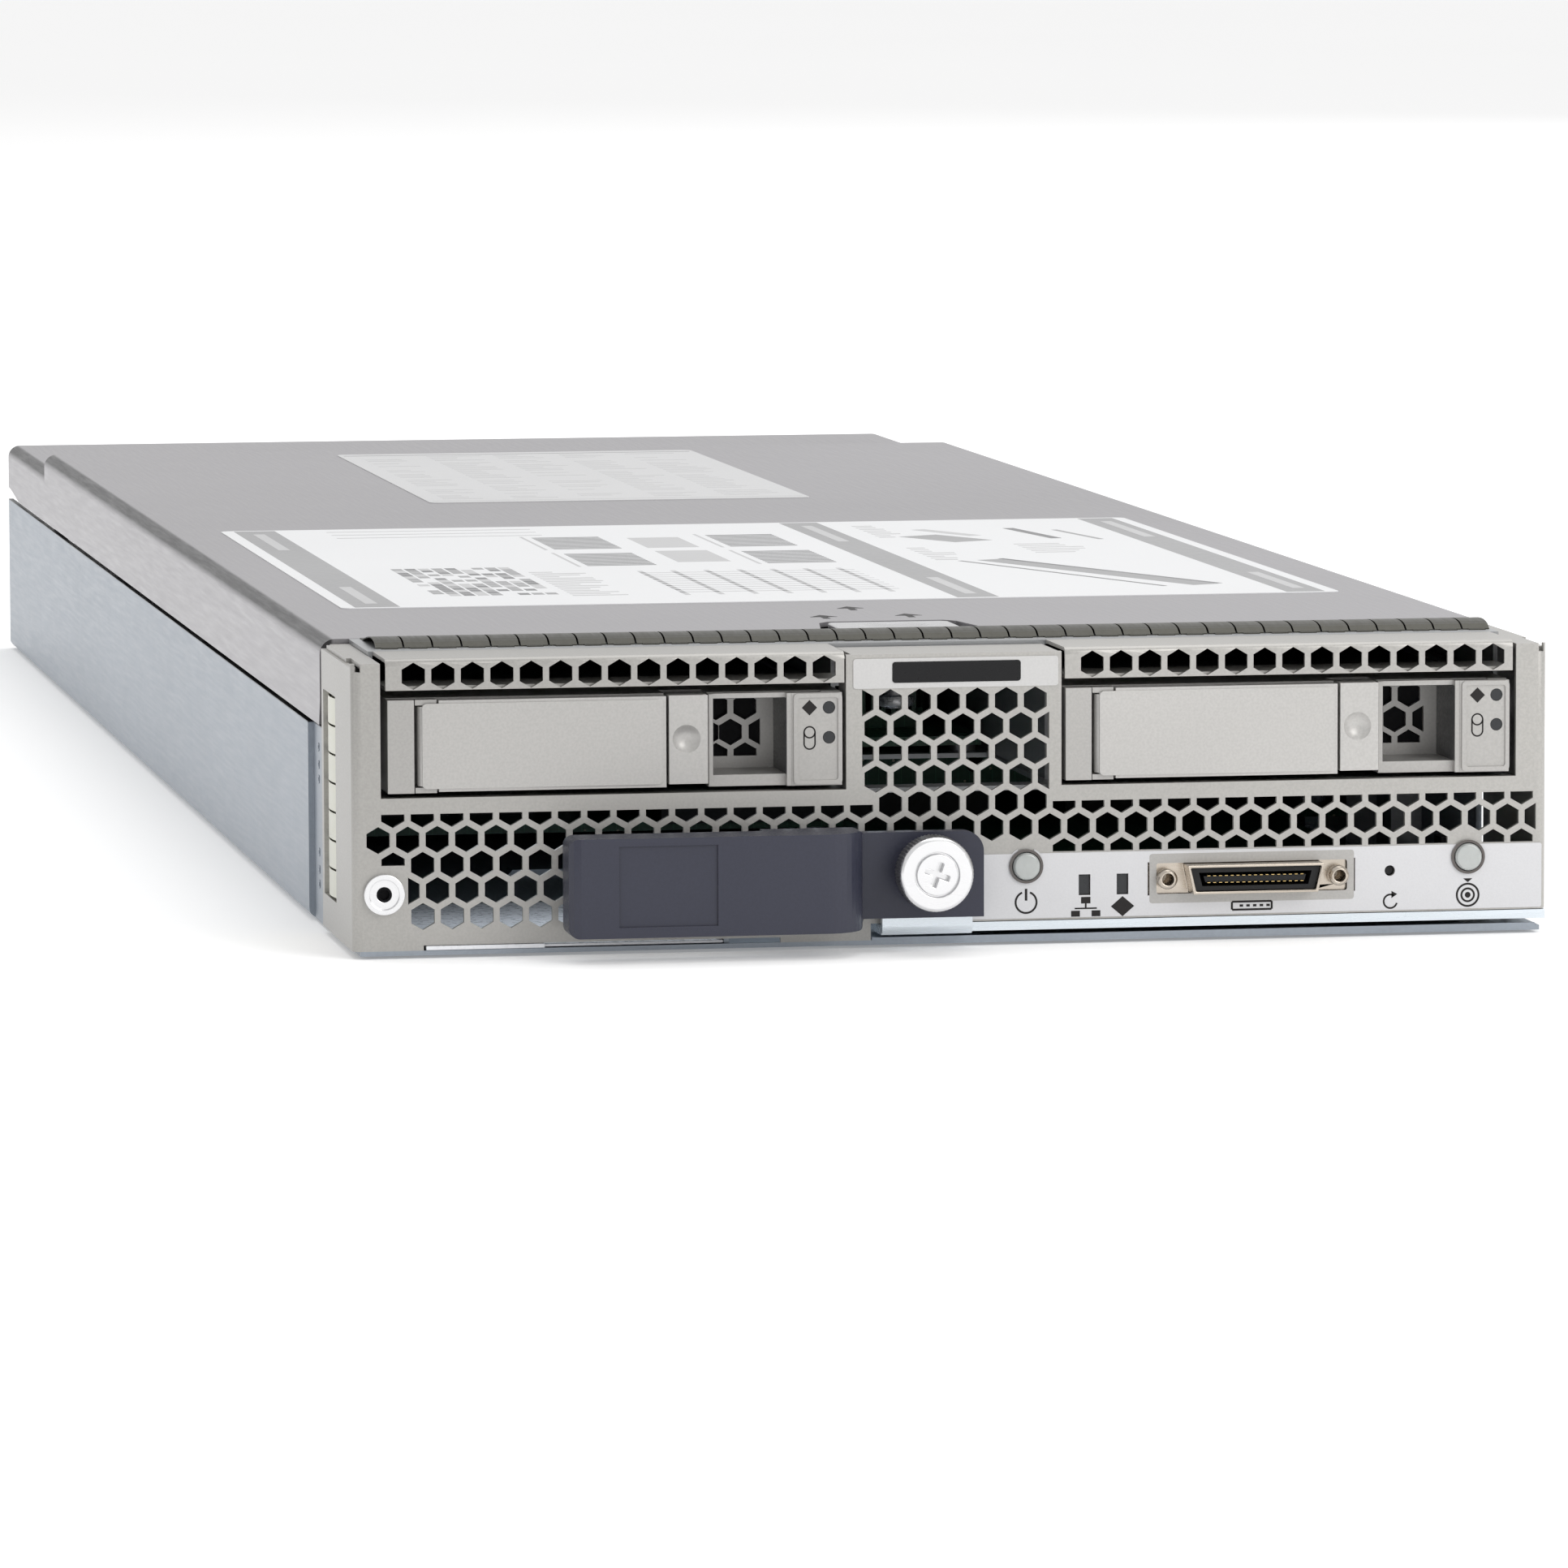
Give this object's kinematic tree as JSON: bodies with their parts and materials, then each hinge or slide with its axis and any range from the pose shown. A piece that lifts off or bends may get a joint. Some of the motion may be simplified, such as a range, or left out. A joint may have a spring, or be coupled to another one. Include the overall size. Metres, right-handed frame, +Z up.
{
  "type": "blade server",
  "caption": "Half-width blade server with perforated front, hot-swap drive carriers, swing-out ejector lever with captive thumbscrew, console port and lift-off cover.",
  "frame": {"origin": "centre of the outline, on the underside", "axes": "+X to the right seen from the front, +Y from the front to the rear connectors, +Z up"},
  "size_m": [0.2032, 0.632, 0.0508],
  "materials": {
    "tray_sheet": "galvanised sheet, satin",
    "cover_sheet": "galvanised sheet, satin",
    "latch_metal": "satin",
    "label_paper": "printed polyester label, satin",
    "front_sheet": "fine textured metallic paint",
    "overlay_film": "silver film",
    "strip_film": "silver film",
    "dark_inlay": "blank dark window",
    "bright_steel": "turned, nickel plated",
    "gasket_dark": "dark plated contact strip",
    "gasket_light": "tin plated contact fingers",
    "zinc_steel": "bright zinc plated",
    "grip_plastic": "moulded, fine texture",
    "black_plastic": "moulded",
    "button_plastic": "translucent moulded",
    "lens_plastic": "smoked light pipe",
    "nickel": "nickel plated",
    "tag_plastic": "white sheet",
    "carrier_mould": "die-cast, fine textured paint",
    "lever_mould": "fine textured metallic paint",
    "drive_case": "machined and cast",
    "circuit_board": "solder mask",
    "heatsink_metal": "extruded fins",
    "die_cast": "die-cast",
    "spring_steel": "drawn wire"
  },
  "bodies": {
    "chassis": {"base_tray": "tray_sheet", "front_panel": "front_sheet", "control_overlay": "overlay_film", "name_strip": "strip_film", "name_inlay": "dark_inlay", "panel_insert": "bright_steel", "emi_gasket_top": "gasket_dark", "emi_gasket_left": "gasket_light", "vent_strip_left": "front_sheet", "vent_strip_right": "front_sheet", "drive_cage": "tray_sheet", "latch_bracket": "tray_sheet", "drive_backplane": "circuit_board", "backplane_connectors": "black_plastic", "storage_controller": "circuit_board", "lever_pivot_pin": "bright_steel", "thumbscrew_nut": "bright_steel", "status_light_pipes": "lens_plastic", "console_shell": "nickel", "console_insulator": "black_plastic", "console_jackposts": "nickel", "motherboard": "circuit_board", "board_standoffs": "zinc_steel", "board_screws": "bright_steel", "cpu_sockets": "black_plastic", "heatsinks": "heatsink_metal", "heatsink_screws": "bright_steel", "dimm_sockets": "black_plastic", "memory_modules": "circuit_board", "power_stages": "black_plastic", "mezzanine_cards": "circuit_board", "midplane_connectors": "black_plastic", "guide_sockets": "die_cast", "coin_battery": "bright_steel"},
    "cover": {"top_cover": "cover_sheet", "service_label_front": "label_paper", "service_label_rear": "label_paper"},
    "latch": {"cover_latch": "latch_metal"},
    "ejector": {"ejector_lever": "zinc_steel", "ejector_handle": "grip_plastic", "handle_screws": "bright_steel", "thumbscrew_ferrule": "bright_steel", "thumbscrew_spring": "spring_steel"},
    "screw_carriage": {"thumbscrew_washer": "black_plastic"},
    "screw": {"thumbscrew": "bright_steel"},
    "power_key": {"power_button": "button_plastic"},
    "locator_key": {"locator_button": "button_plastic"},
    "reset_key": {"reset_button": "black_plastic"},
    "tag": {"asset_tag": "tag_plastic"},
    "carrier_left_body": {"carrier_left": "carrier_mould", "carrier_pin_left": "bright_steel", "carrier_light_pipes_left": "lens_plastic", "drive_left": "drive_case"},
    "drive_lever_left": {"carrier_lever_left": "lever_mould"},
    "drive_button_left": {"carrier_button_left": "lever_mould"},
    "carrier_right_body": {"carrier_right": "carrier_mould", "carrier_pin_right": "bright_steel", "carrier_light_pipes_right": "lens_plastic", "drive_right": "drive_case"},
    "drive_lever_right": {"carrier_lever_right": "lever_mould"},
    "drive_button_right": {"carrier_button_right": "lever_mould"}
  },
  "joints": [
    {"name": "cover_lift", "type": "slide", "parent": "chassis", "child": "cover", "axis": [0, 0, 1], "range_m": [0, 0.1]},
    {"name": "latch_press", "type": "slide", "parent": "chassis", "child": "latch", "axis": [0, 0, -1], "range_m": [0, 0.0016], "stiffness_N_per_m": 400, "springref_m": -0.001},
    {"name": "ejector_open", "type": "hinge", "parent": "chassis", "child": "ejector", "pos_m": [0.092, -0.287, 0.0027], "axis": [0, 0, 1], "range_deg": [0, 65]},
    {"name": "thumbscrew_travel", "type": "slide", "parent": "ejector", "child": "screw_carriage", "axis": [0, 1, 0], "range_m": [0, 0.0026], "deforming": ["thumbscrew_spring"]},
    {"name": "thumbscrew_turn", "type": "hinge", "parent": "screw_carriage", "child": "screw", "pos_m": [-0.006, -0.313, 0.0132], "axis": [0, 1, 0], "range_deg": [0, 1337.2]},
    {"name": "power_press", "type": "slide", "parent": "chassis", "child": "power_key", "axis": [0, 1, 0], "range_m": [0, 0.001], "stiffness_N_per_m": 400, "springref_m": -0.0003},
    {"name": "locator_press", "type": "slide", "parent": "chassis", "child": "locator_key", "axis": [0, 1, 0], "range_m": [0, 0.001], "stiffness_N_per_m": 400, "springref_m": -0.0003},
    {"name": "reset_press", "type": "slide", "parent": "chassis", "child": "reset_key", "axis": [0, 1, 0], "range_m": [0, 0.0006], "stiffness_N_per_m": 300, "springref_m": -0.0003},
    {"name": "tag_pull", "type": "slide", "parent": "chassis", "child": "tag", "axis": [0, -1, 0], "range_m": [0, 0.045]},
    {"name": "carrier_left_slide", "type": "slide", "parent": "chassis", "child": "carrier_left_body", "axis": [0, -1, 0], "range_m": [0, 0.118]},
    {"name": "drive_lever_left_open", "type": "hinge", "parent": "carrier_left_body", "child": "drive_lever_left", "pos_m": [-0.0893, -0.3, 0.0347], "axis": [0, 0, -1], "range_deg": [0, 36]},
    {"name": "drive_button_left_press", "type": "slide", "parent": "carrier_left_body", "child": "drive_button_left", "axis": [0, 1, 0], "range_m": [0, 0.0015], "stiffness_N_per_m": 500, "springref_m": -0.0003},
    {"name": "carrier_right_slide", "type": "slide", "parent": "chassis", "child": "carrier_right_body", "axis": [0, -1, 0], "range_m": [0, 0.118]},
    {"name": "drive_lever_right_open", "type": "hinge", "parent": "carrier_right_body", "child": "drive_lever_right", "pos_m": [0.025, -0.3, 0.0347], "axis": [0, 0, -1], "range_deg": [0, 36]},
    {"name": "drive_button_right_press", "type": "slide", "parent": "carrier_right_body", "child": "drive_button_right", "axis": [0, 1, 0], "range_m": [0, 0.0015], "stiffness_N_per_m": 500, "springref_m": -0.0003}
  ],
  "couplings": [
    {"joint": "thumbscrew_turn", "follows": "thumbscrew_travel", "rad_per_m": 8976}
  ]
}
